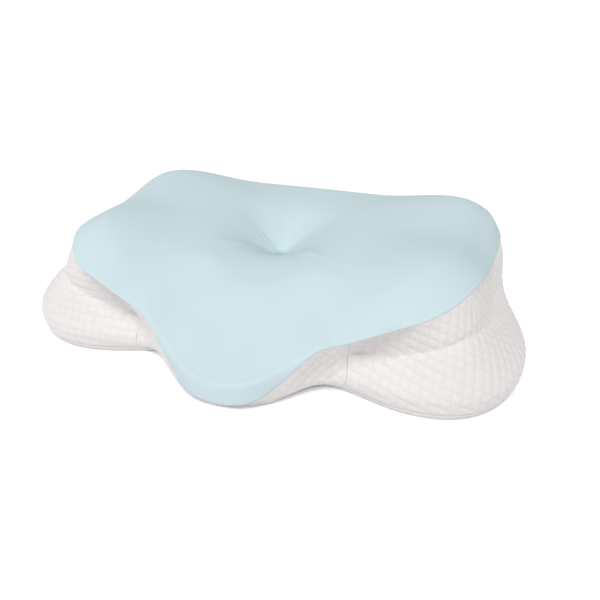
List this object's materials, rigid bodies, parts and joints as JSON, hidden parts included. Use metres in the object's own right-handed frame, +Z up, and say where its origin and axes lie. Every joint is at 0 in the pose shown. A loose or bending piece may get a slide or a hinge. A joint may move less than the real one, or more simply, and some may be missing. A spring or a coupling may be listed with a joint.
{
  "type": "cervical pillow",
  "caption": "Contoured neck pillow with a head hollow, raised back ridge, side wings and a low front lobe, smooth on top and quilted round the sides.",
  "frame": {"origin": "middle of the outline, on the surface that the pillow rests on", "axes": "+X to one wing, the long way; +Y to the head end, away from the low front lobe; +Z up"},
  "size_m": [0.6296, 0.4331, 0.1384],
  "materials": {
    "smooth_knit": "pale blue smooth stretch knit",
    "quilted_knit": "off-white knit, quilted in small squares",
    "base_cloth": "off-white plain knit"
  },
  "bodies": {
    "root": {"filled_body": "base_cloth", "top_panel": "smooth_knit", "front_panel": "quilted_knit", "wing_panel_left": "quilted_knit", "wing_panel_right": "quilted_knit"}
  },
  "joints": []
}
